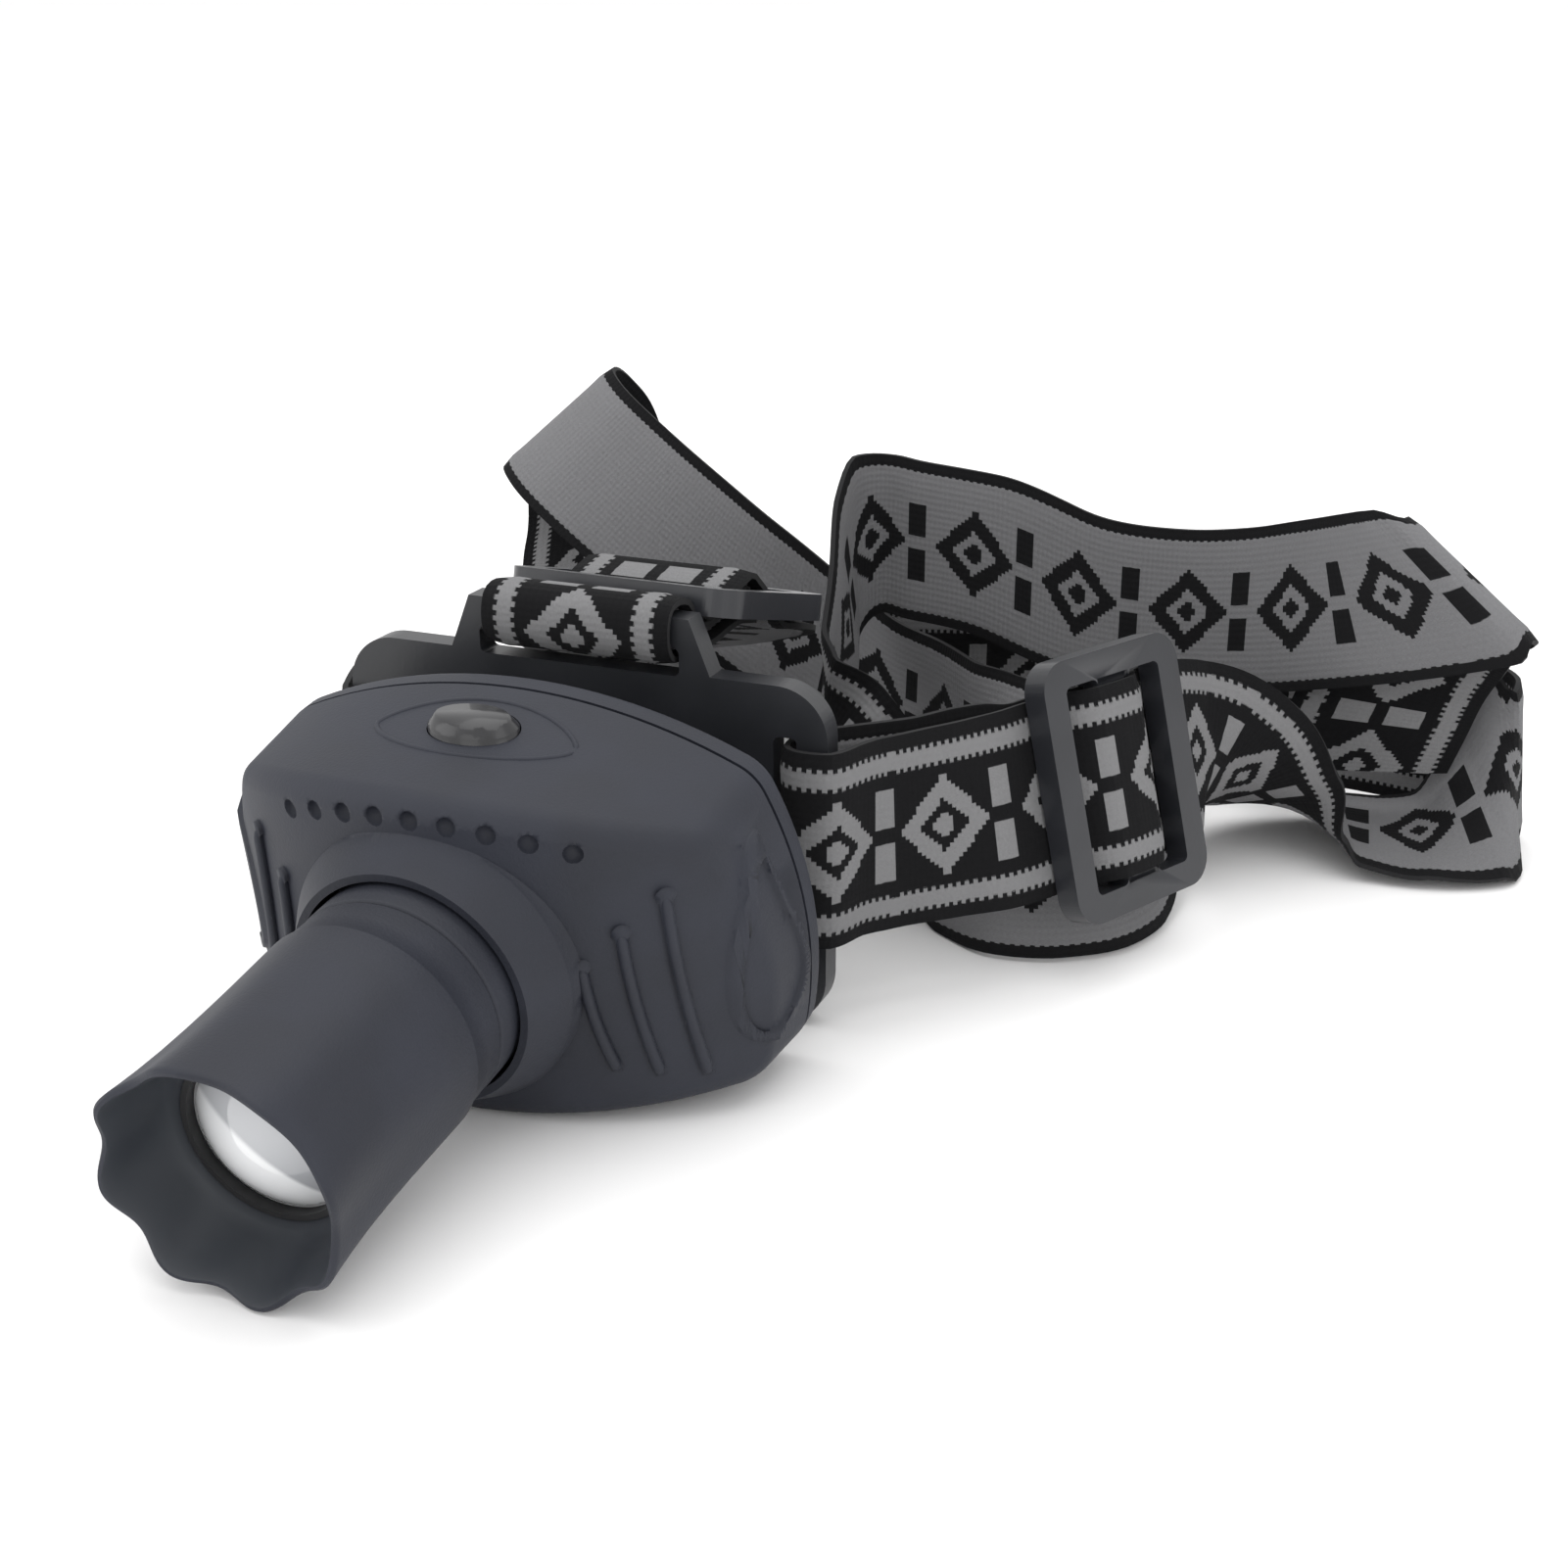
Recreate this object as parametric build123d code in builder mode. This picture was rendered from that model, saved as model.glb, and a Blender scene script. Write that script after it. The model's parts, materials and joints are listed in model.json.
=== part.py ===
"""Zoom headlamp on an elastic headband: casing, sliding focus head, bracket, webbing and inner parts."""
import os
from math import cos, radians, sin

from build123d import *

os.makedirs("parts", exist_ok=True)

# ---------------------------------------------------------------- driving dimensions, mm
# The part stands on z = 0, with its origin under the middle of the bracket plate.
# Lamp pieces are drawn level, on the head's own axis: x across, y back, z up from that axis.
lamp_axis_height = 21.5
lamp_axis_back = -22.0
nose_down = 7.5

case_half_width = 35.5
case_top = 23.5
case_bottom = 21.9
case_front = 17.5
case_split = 6.3
split_gap = 0.5
cover_back = 10.4
front_radius = 46.0
draft = 6.0
wall = 1.8
corner_radius = 6.0
front_edge_radius = 3.2

collar_base_radius = 17.3
collar_lip_radius = 14.5
collar_bore = 13.6
collar_lip = 22.0

post_radius = 9.0
sleeve_bore = 9.08
head_rear = 17.0
head_collar_front = 27.0
post_front = 36.0
head_front = 58.5
head_rear_radius = 13.1
bezel_radius = 13.6
lens_radius = 9.9
lens_dome = 51.6
lens_curve = 13.3

cell_radius = 5.25
cell_length = 43.3
cell_pitch = 10.9
cell_back = 2.2

button_length = 11.0
button_width = 7.4
button_back = -2.2

bracket_half_width = 32.5
bracket_height = 43.8
bracket_thickness = 3.5
slot_inner = 25.6
slot_outer = 28.6
slot_bottom = 10.5
slot_top = 37.5
loop_top = 50.6
loop_slot_bottom = 43.4
loop_slot_top = 46.9

tilt_pin_back = 14.5
tilt_pin_down = 18.8
tilt_pin_radius = 1.25
knuckle_radius = 3.0
door_pin_side = 36.6
door_middle = -5.0
door_pin_radius = 0.8
door_knuckle_radius = 1.8

web_width = 25.0
web_thickness = 1.5
slider_length = 34.0
slider_width = 26.0
slider_thickness = 3.4

lamp_place = Location((0, lamp_axis_back, lamp_axis_height), (nose_down, 0, 0))


def save(piece, label, place=Location()):
    """Put a finished piece where it belongs, label it and write it."""
    placed = piece.part.moved(place)
    placed.label = label
    export_step(placed, f"parts/{label}.step")
    return placed

# the tilt pin's place behind the casing, and the two adjusters' planes: x is travel, y runs along the bars
pin_y = lamp_axis_back + tilt_pin_back * cos(radians(nose_down)) + tilt_pin_down * sin(radians(nose_down))
pin_z = lamp_axis_height + tilt_pin_back * sin(radians(nose_down)) - tilt_pin_down * cos(radians(nose_down))
slider_a_plane = Plane(origin=(59.57, 33.24, 24.9), x_dir=(0.443, 0.897, 0), z_dir=(0.865, -0.427, 0.270))
slider_b_plane = Plane(origin=(3.0, 18.0, 47.5), x_dir=(0.15, 0.955, -0.256), z_dir=(0, 0.259, 0.966))


# ---------------------------------------------------------------- casing form
def case_outline(inset=0.0):
    """Face of the casing's outline at the parting plane, drawn inset by a wall."""
    half = case_half_width - inset
    top = case_top - inset
    bottom = case_bottom - inset
    top_side = (half - 5.5, top - 7.0)
    low_side = (half - 1.7, -bottom + 3.4)
    with BuildSketch(Plane.XY) as outline:
        with BuildLine():
            ThreePointArc((-top_side[0], top_side[1]), (0, top), top_side)
            ThreePointArc(top_side, (half, -4.0), low_side)
            ThreePointArc(low_side, (0, -bottom), (-low_side[0], low_side[1]))
            ThreePointArc((-low_side[0], low_side[1]), (-half, -4.0), (-top_side[0], top_side[1]))
        face = make_face()
        fillet(face.vertices(), corner_radius)
    return outline.sketch


def case_form(back, inset=0.0, edge=front_edge_radius):
    """Closed form of the casing from its front face back to a plane."""
    reach = case_half_width + 6.0
    front = -case_front + inset
    sag = front_radius - (front_radius**2 - reach**2) ** 0.5
    with BuildPart() as form:
        with BuildSketch(Plane.XZ.offset(-back)):
            add(case_outline(inset))
        extrude(amount=back + case_front + 4.0, taper=draft)
        with BuildSketch(Plane.XY.offset(-30)):
            with BuildLine():
                ThreePointArc((-reach, front + sag), (0, front), (reach, front + sag))
                Polyline((reach, front + sag), (reach, 40), (-reach, 40), (-reach, front + sag))
            make_face()
        extrude(amount=60, mode=Mode.INTERSECT)
        if edge:
            front_edges = form.faces().filter_by(GeomType.CYLINDER).sort_by(Axis.Y)[0].edges()
            fillet(front_edges, edge)
    return form.part


with BuildPart() as outer_form:
    add(case_form(case_split))
with BuildPart() as inner_form:
    add(case_form(case_split + 4.0, inset=wall, edge=0))
with BuildPart() as raised_skin:
    add(case_form(case_split, inset=-0.6, edge=0))
    add(outer_form.part, mode=Mode.SUBTRACT)
with BuildPart() as sunk_skin:
    add(outer_form.part)
    add(case_form(case_split + 1.0, inset=0.6, edge=0), mode=Mode.SUBTRACT)

# three grip ribs each side of the collar, the outer ones longer
with BuildPart() as ribs:
    for side in (-1, 1):
        for reach, low, high in ((18.6, -12.0, 1.6), (22.8, -13.2, 5.6), (27.2, -14.2, 9.6)):
            top_left = (side * reach - 1.3 * side - 0.5, high)
            top_right = (side * reach - 1.3 * side + 0.5, high)
            low_left = (side * reach + 1.3 * side - 0.5, low)
            low_right = (side * reach + 1.3 * side + 0.5, low)
            middle = (low + high) / 2
            with BuildSketch(Plane.XZ):
                with BuildLine():
                    ThreePointArc(top_left, (side * (reach - 0.5) - 0.5, middle), low_left)
                    Line(low_left, low_right)
                    ThreePointArc(low_right, (side * (reach - 0.5) + 0.5, middle), top_right)
                    Line(top_right, top_left)
                make_face()
                with Locations((side * (reach - 1.3), high)):
                    Circle(0.9)
            extrude(amount=24)
    add(raised_skin.part, mode=Mode.INTERSECT)

# thumb pads: a raised drop outline on both sides of the casing
with BuildPart() as drops:
    with BuildSketch(Plane.YZ.offset(-42)):
        with BuildLine():
            Spline((1.6, 12.6), (-6.0, -2.0), (-3.0, -12.0), (4.4, -8.6), (3.4, 2.0), (1.6, 12.6))
        make_face()
        with BuildLine():
            Spline((1.2, 9.6), (-4.9, -2.4), (-2.6, -10.9), (3.3, -8.0), (2.4, 1.6), (1.2, 9.6))
        make_face(mode=Mode.SUBTRACT)
    extrude(amount=84)
    add(raised_skin.part, mode=Mode.INTERSECT)

with BuildPart() as front_shell:
    add(outer_form.part)
    add(ribs.part)
    add(drops.part)
    with BuildSketch(Plane.YZ) as collar_profile:
        with BuildLine():
            Polyline((-14.0, 0), (-14.0, collar_base_radius), (-16.9, collar_base_radius))
            ThreePointArc((-16.9, collar_base_radius), (-18.6, 16.4), (-20.6, collar_lip_radius + 0.7))
            Polyline((-20.6, collar_lip_radius + 0.7), (-collar_lip, collar_lip_radius), (-collar_lip, 0), (-14.0, 0))
        make_face()
    revolve(axis=Axis.Y)
    add(inner_form.part, mode=Mode.SUBTRACT)
    with BuildSketch(Plane.XZ.offset(10)):
        Circle(collar_bore)
    extrude(amount=14, mode=Mode.SUBTRACT)
    # dimple row above the collar, following the crown of the casing
    for step in range(-4, 5):
        across = 4.4 * step
        with Locations((across, -17.45 + across**2 / 92, 18.6 - across**2 / 104)):
            Sphere(1.15, mode=Mode.SUBTRACT)
    # almond recess and hole for the push button
    with BuildSketch(Plane.XY.offset(15)):
        with Locations((0, button_back)):
            Ellipse(button_length / 2 + 0.15, button_width / 2 + 0.15)
    extrude(amount=12, mode=Mode.SUBTRACT)
    # four bosses for the heat sink flange
    with BuildSketch(Plane.XZ.offset(11.2)):
        with GridLocations(29.0, 21.0, 2, 2):
            Circle(2.5)
    extrude(until=Until.NEXT)
    with BuildSketch(Plane.XZ.offset(11.2)):
        with GridLocations(29.0, 21.0, 2, 2):
            Circle(0.98)
    extrude(amount=1.6, mode=Mode.SUBTRACT)
    # hinge knuckle of the case door, on the left, and room for its neighbours
    for low in (door_middle - 10.15, door_middle + 3.85):
        with BuildSketch(Plane.XY.offset(low)):
            with Locations((-door_pin_side, case_split)):
                Circle(door_knuckle_radius + 0.2)
        extrude(amount=6.3, mode=Mode.SUBTRACT)
    with BuildSketch(Plane.XY.offset(door_middle - 3.8)):
        with Locations((-door_pin_side, case_split)):
            Circle(door_knuckle_radius)
        with Locations((-door_pin_side + 1.6, case_split - 2.6)):
            Rectangle(3.4, 3.6)
    extrude(amount=7.6)
    with BuildSketch(Plane.XY.offset(door_middle - 4)):
        with Locations((-door_pin_side, case_split)):
            Circle(door_pin_radius + 0.05)
    extrude(amount=8, mode=Mode.SUBTRACT)
    add(inner_form.part, mode=Mode.SUBTRACT)

with BuildPart() as rear_cover:
    back_start = case_split + split_gap
    with BuildSketch(Plane.XZ.offset(-cover_back)):
        add(case_outline())
    extrude(amount=cover_back - back_start)
    fillet(rear_cover.faces().sort_by(Axis.Y)[-1].edges(), 1.6)
    with BuildSketch(Plane.XZ.offset(-(cover_back - wall))):
        add(case_outline(wall))
    extrude(amount=4, mode=Mode.SUBTRACT)
    # knuckle block that takes the tilt pin
    with BuildSketch(Plane.YZ.offset(-8.6)):
        with Locations((tilt_pin_back, -tilt_pin_down)):
            Circle(knuckle_radius)
        with Locations(((tilt_pin_back + cover_back - 0.6) / 2, -tilt_pin_down)):
            Rectangle(tilt_pin_back - cover_back + 0.6, 2 * knuckle_radius)
    extrude(amount=17.2)
    with BuildSketch(Plane.YZ.offset(-9)):
        with Locations((tilt_pin_back, -tilt_pin_down)):
            Circle(tilt_pin_radius + 0.05)
    extrude(amount=18, mode=Mode.SUBTRACT)
    # two door knuckles, and room for the one between them
    with BuildSketch(Plane.XY.offset(door_middle - 3.95)):
        with Locations((-door_pin_side, case_split)):
            Circle(door_knuckle_radius + 0.2)
    extrude(amount=7.9, mode=Mode.SUBTRACT)
    for low in (door_middle - 10.0, door_middle + 4.0):
        with BuildSketch(Plane.XY.offset(low)):
            with Locations((-door_pin_side, case_split)):
                Circle(door_knuckle_radius)
            with Locations((-door_pin_side + 1.6, case_split + 2.4)):
                Rectangle(3.4, 2.6)
        extrude(amount=6.0)
        with BuildSketch(Plane.XY.offset(low - 1)):
            with Locations((-door_pin_side, case_split)):
                Circle(door_pin_radius)
        extrude(amount=8.0, mode=Mode.SUBTRACT)

with BuildPart() as door_pin:
    with BuildSketch(Plane.XY.offset(door_middle - 10)):
        with Locations((-door_pin_side, case_split)):
            Circle(door_pin_radius)
    extrude(amount=20)

with BuildPart() as tilt_pin:
    with BuildSketch(Plane.YZ.offset(-12.6)):
        with Locations((tilt_pin_back, -tilt_pin_down)):
            Circle(tilt_pin_radius)
    extrude(amount=25.2)


# ---------------------------------------------------------------- zoom head and optics
with BuildPart() as zoom_head:
    with BuildSketch(Plane.YZ):
        with BuildLine():
            Polyline(
                (-head_rear, 0),
                (-head_rear, head_rear_radius),
                (-25.0, head_rear_radius),
                (-25.3, head_rear_radius - 0.25),
                (-30.6, head_rear_radius + 0.1),
                (-30.9, head_rear_radius + 0.35),
                (-40.0, 13.45),
                (-50.0, 13.35),
                (-head_front, bezel_radius + 0.35),
                (-head_front, 0),
                (-head_rear, 0),
            )
        make_face()
    revolve(axis=Axis.Y)
    with BuildSketch(Plane.YZ):
        with BuildLine():
            Polyline(
                (-head_rear + 1, 0),
                (-head_rear + 1, sleeve_bore),
                (-head_collar_front, sleeve_bore),
                (-head_collar_front, 11.0),
                (-44.6, 11.0),
                (-44.6, 9.0),
                (-46.4, 9.0),
                (-46.4, lens_radius + 0.06),
                (-49.6, lens_radius + 0.06),
                (-50.4, 10.9),
                (-54.0, 12.0),
                (-head_front - 1, bezel_radius - 0.55),
                (-head_front - 1, 0),
                (-head_rear + 1, 0),
            )
        make_face()
    revolve(axis=Axis.Y, mode=Mode.SUBTRACT)
    # eight shallow finger scallops in the rim
    with BuildSketch(Plane.XZ.offset(head_front - 0.9)):
        with PolarLocations(18.6, 8, start_angle=10):
            Circle(5.2)
    extrude(amount=3, mode=Mode.SUBTRACT)
    # finger grooves along the barrel
    for turn in range(8):
        angle = radians(10 + 45 * turn)
        with Locations((17.1 * cos(angle), -46.0, 17.1 * sin(angle))):
            Sphere(4.0, mode=Mode.SUBTRACT)

with BuildPart() as lens:
    with Locations((0, -(lens_dome - lens_curve), 0)):
        Sphere(lens_curve)
    with BuildSketch(Plane.XZ.offset(48.0)):
        Circle(9.0)
    extrude(amount=8.0, mode=Mode.INTERSECT)
    with BuildSketch(Plane.XZ.offset(46.5)):
        Circle(lens_radius)
    extrude(amount=1.5)

with BuildPart() as lens_ring:
    with BuildSketch(Plane.XZ.offset(48.05)):
        Circle(lens_radius)
        Circle(9.2, mode=Mode.SUBTRACT)
    extrude(amount=1.3)

with BuildPart() as led_post:
    with BuildSketch(Plane.XZ.offset(9.7)):
        RectangleRounded(35.0, 27.0, 4.0)
    extrude(amount=1.5)
    with BuildSketch(Plane.XZ.offset(9.7)):
        Circle(post_radius)
    extrude(amount=post_front - 9.7)
    for start, end, radius in ((20.1, 21.9, 8.0), (30.1, 31.2, 8.5)):
        with BuildSketch(Plane.XZ.offset(start)):
            Circle(post_radius + 1)
            Circle(radius, mode=Mode.SUBTRACT)
        extrude(amount=end - start, mode=Mode.SUBTRACT)
    with BuildSketch(Plane.XZ.offset(9)):
        Circle(2.0)
        with GridLocations(29.0, 21.0, 2, 2):
            Circle(1.1)
    extrude(amount=post_front, mode=Mode.SUBTRACT)

with BuildPart() as o_ring:
    with BuildSketch(Plane.YZ):
        with Locations((-21.0, 8.55)):
            Circle(0.48)
    revolve(axis=Axis.Y)

with BuildPart() as stop_ring:
    with BuildSketch(Plane.XZ.offset(30.15)):
        Circle(10.2)
        Circle(8.52, mode=Mode.SUBTRACT)
    extrude(amount=1.0)

with BuildPart() as led_board:
    with BuildSketch(Plane.XZ.offset(post_front + 0.02)):
        Circle(8.4)
    extrude(amount=1.2)

with BuildPart() as led_emitter:
    with BuildSketch(Plane.XZ.offset(post_front + 1.24)):
        RectangleRounded(3.5, 3.5, 0.3)
    extrude(amount=0.6)
    with Locations((0, -(post_front + 1.8), 0)):
        Sphere(1.25)
    with BuildSketch(Plane.XZ.offset(post_front - 2)):
        Rectangle(8, 8)
    extrude(amount=3.24, mode=Mode.SUBTRACT)

with BuildPart() as tray_screws:
    with BuildSketch(Plane.XZ.offset(8.6)):
        with GridLocations(29.0, 21.0, 2, 2):
            Circle(1.9)
    extrude(amount=1.08)
    with BuildSketch(Plane.XZ.offset(9.6)):
        with GridLocations(29.0, 21.0, 2, 2):
            Circle(0.95)
    extrude(amount=3.0)
    with BuildSketch(Plane.XZ.offset(8.0)):
        with GridLocations(29.0, 21.0, 2, 2):
            Rectangle(2.4, 0.5)
            Rectangle(0.5, 2.4)
    extrude(amount=1.1, mode=Mode.SUBTRACT)

# ---------------------------------------------------------------- cells, contacts, switch
with BuildPart() as battery_tray:
    with BuildSketch(Plane.XZ.offset(3.4)):
        Rectangle(51.0, 26.0)
        Rectangle(34.0, 33.88)
    extrude(amount=1.2)
    for side in (-1, 1):
        with BuildSketch(Plane.YZ.offset(side * 25.0 - 0.5)):
            with Locations((0.2, 0)):
                Rectangle(9.2, 26.0)
        extrude(amount=1.0)
        with BuildSketch(Plane.XY.offset(side * 16.6 - 0.35)):
            with Locations((0, 0.2)):
                Rectangle(34.0, 9.2)
        extrude(amount=0.7)

cells = []
for index in range(3):
    toward = 1 if index != 1 else -1
    with BuildPart() as cell:
        with BuildSketch(Plane.YZ.offset(-cell_length / 2)):
            with Locations((cell_back, cell_pitch * (index - 1))):
                Circle(cell_radius)
        extrude(amount=cell_length)
        fillet(cell.edges().filter_by(GeomType.CIRCLE), 0.6)
        with BuildSketch(Plane.YZ.offset(toward * (cell_length / 2 + 0.5) - 0.5)):
            with Locations((cell_back, cell_pitch * (index - 1))):
                Circle(1.9)
        extrude(amount=1.0)
    cells.append(cell)

with BuildPart() as contact_plates:
    for index in range(3):
        toward = 1 if index != 1 else -1
        height = cell_pitch * (index - 1)
        for side in (-1, 1):
            with BuildSketch(Plane.YZ.offset(side * 24.2 - 0.15)):
                with Locations((cell_back - 0.6, height)):
                    RectangleRounded(6.4, 7.4, 1.0)
            extrude(amount=0.3)
        with BuildSketch(Plane.YZ.offset(toward * 23.4 - 0.65)):
            with Locations((cell_back, height)):
                Circle(1.6)
        extrude(amount=1.3)

with BuildPart() as contact_springs:
    for index in range(3):
        away = -1 if index != 1 else 1
        height = cell_pitch * (index - 1)
        start = 22.0 if away > 0 else -23.7
        for turn in range(3):
            with Locations(Location((start + 0.25 + 0.6 * turn, cell_back, height), (0, 90, 0))):
                Torus(2.5 - 0.3 * turn if away < 0 else 1.9 + 0.3 * turn, 0.36)
        with BuildSketch(Plane.YZ.offset(start + 0.1)):
            with Locations((cell_back, height + 2.2)):
                Rectangle(0.5, 1.6)
        extrude(amount=1.5)

with BuildPart() as switch_board:
    with BuildSketch(Plane.XY.offset(16.98)):
        with Locations((0, -1.4)):
            Rectangle(16.0, 10.0)
    extrude(amount=0.6)

with BuildPart() as tactile_switch:
    with BuildSketch(Plane.XY.offset(17.6)):
        with Locations((0, button_back)):
            RectangleRounded(4.6, 4.6, 0.4)
    extrude(amount=0.7)
    with BuildSketch(Plane.XY.offset(18.3)):
        with Locations((0, button_back)):
            Circle(1.1)
    extrude(amount=0.25)

with BuildPart() as button_cap:
    with BuildSketch(Plane.XY.offset(19.2)):
        with Locations((0, button_back)):
            Ellipse(button_length / 2 + 0.5, button_width / 2 + 0.4)
    extrude(amount=0.7)
    with BuildSketch(Plane.XY.offset(19.9)):
        with Locations((0, button_back)):
            Ellipse(button_length / 2, button_width / 2)
    extrude(amount=2.9)
    with BuildSketch(Plane.XY.offset(22.8)):
        with Locations((0, button_back)):
            Ellipse(button_length / 2, button_width / 2)
    extrude(amount=1.3, taper=38)

wires = []
for side in (-1, 1):
    with BuildPart() as wire:
        with BuildLine():
            Polyline((side * 0.9, -(post_front - 0.05), 0), (side * 0.9, -7.4, 0))
            Line((side * 0.9, -7.4, 0), (side * 0.9, -6.4, 1.4))
            Line((side * 0.9, -6.4, 1.4), (side * 0.9, -5.6, 14.6))
            Line((side * 0.9, -5.6, 14.6), (side * 0.9, -5.8, 16.9))
        with BuildSketch(Plane(origin=(side * 0.9, -(post_front - 0.05), 0), z_dir=(0, 1, 0))):
            Circle(0.45)
        sweep(transition=Transition.RIGHT)
    wires.append(wire)

# ---------------------------------------------------------------- bracket
with BuildPart() as bracket:
    with BuildSketch(Plane.XZ.offset(-bracket_thickness / 2)) as plate_outline:
        with Locations((0, bracket_height / 2)):
            RectangleRounded(2 * bracket_half_width, bracket_height, 6.5)
        with BuildLine():
            Polyline((-17.5, 40), (-17.5, 43.8), (-14.8, loop_top), (14.8, loop_top), (17.5, 43.8), (17.5, 40), (-17.5, 40))
        make_face()
        with Locations((0, 3.0)):
            Rectangle(50, 6.0)
        for side in (-1, 1):
            with Locations((side * (slot_inner + slot_outer) / 2, (slot_bottom + slot_top) / 2)):
                RectangleRounded(slot_outer - slot_inner, slot_top - slot_bottom, 0.8, mode=Mode.SUBTRACT)
        with Locations((0, (loop_slot_bottom + loop_slot_top) / 2)):
            RectangleRounded(27.0, loop_slot_top - loop_slot_bottom, 0.8, mode=Mode.SUBTRACT)
    extrude(amount=bracket_thickness)
    # lugs that carry the tilt pin
    for side in (-1, 1):
        with BuildSketch(Plane.YZ.offset(side * 11.0 - 2.0)):
            with Locations((pin_y, pin_z)):
                Circle(knuckle_radius)
            with Locations(((pin_y - 1.0) / 2, pin_z)):
                Rectangle(abs(pin_y) - 1.0, 2 * knuckle_radius)
        extrude(amount=4.0)
        with BuildSketch(Plane.YZ.offset(side * 11.0 - 3.0)):
            with Locations((pin_y, pin_z)):
                Circle(tilt_pin_radius)
        extrude(amount=6.0, mode=Mode.SUBTRACT)


def make_slider(frame):
    """Three-bar webbing adjuster lying on a plane: travel along x, bars along y."""
    with BuildPart() as adjuster:
        with BuildSketch(frame.offset(-slider_thickness / 2)):
            RectangleRounded(slider_width, slider_length, 4.0)
            for side in (-1, 1):
                with Locations((side * 6.0, 0)):
                    RectangleRounded(6.0, slider_length - 7.0, 0.9, mode=Mode.SUBTRACT)
        extrude(amount=slider_thickness)
        for side in (-1, 1):
            with BuildSketch(frame.offset(side * 1.3 - 0.4)):
                Rectangle(6.0, slider_length - 7.0)
            extrude(amount=0.8, mode=Mode.SUBTRACT)
    return adjuster


slider_a = make_slider(slider_a_plane)
slider_b = make_slider(slider_b_plane)


# ---------------------------------------------------------------- webbing
def on_slider(frame, along, lift):
    """Centre of the webbing and its width direction at a place on an adjuster."""
    point = frame.origin + frame.x_dir * along + frame.z_dir * lift
    return (point.X, point.Y, point.Z, -frame.y_dir.X, -frame.y_dir.Y, -frame.y_dir.Z)


def through_slider(frame, hump):
    """Stations from under one end bar, over the middle bar, to under the other end bar."""
    rows = ((-13, -2.75), (-9.5, -2.75), (-8.5, -2.5), (-3.6, 1.6), (-2.0, 1.7 + hump / 2), (0, 1.9 + hump))
    mirrored = tuple((-along, lift) for along, lift in reversed(rows[:-1]))
    return [on_slider(frame, along, lift) for along, lift in rows + mirrored]


def sewn_end(frame):
    """Stations of the end that is sewn round an adjuster's middle bar, running out under it."""
    return [on_slider(frame, along, lift) for along, lift in ((1.8, -2.1), (-1.5, -2.1), (-4.5, -3.2), (-9, -5.2), (-13, -5.6))]


def flat_face(corners):
    """Face through a few corners that lie in one plane."""
    return Face(Wire.make_polygon(corners))


def ribbon(stations):
    """Flat webbing through its stations: centre x, y, z and width direction x, y, z."""
    centres = [Vector(*row[:3]) for row in stations]
    rings = []
    for index, row in enumerate(stations):
        before = centres[max(index - 1, 0)]
        after = centres[min(index + 1, len(centres) - 1)]
        travel = (after - before).normalized()
        width = Vector(*row[3:]).normalized()
        side = width * (web_width / 2 / max(travel.cross(width).length, 0.6))
        thick = travel.cross(width).normalized() * (web_thickness / 2)
        here = centres[index]
        rings.append((here - side - thick, here + side - thick, here + side + thick, here - side + thick))
    first, last = rings[0], rings[-1]
    faces = [flat_face(first[::-1]), flat_face(last)]
    for one, other in zip(rings[:-1], rings[1:]):
        for corner in range(4):
            following = (corner + 1) % 4
            if corner < 2:
                faces.append(flat_face((one[corner], one[following], other[following])))
                faces.append(flat_face((one[corner], other[following], other[corner])))
            else:
                faces.append(flat_face((one[corner], one[following], other[corner])))
                faces.append(flat_face((one[following], other[following], other[corner])))
    with BuildPart() as web:
        add(Solid(Shell(faces)))
    return web


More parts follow.
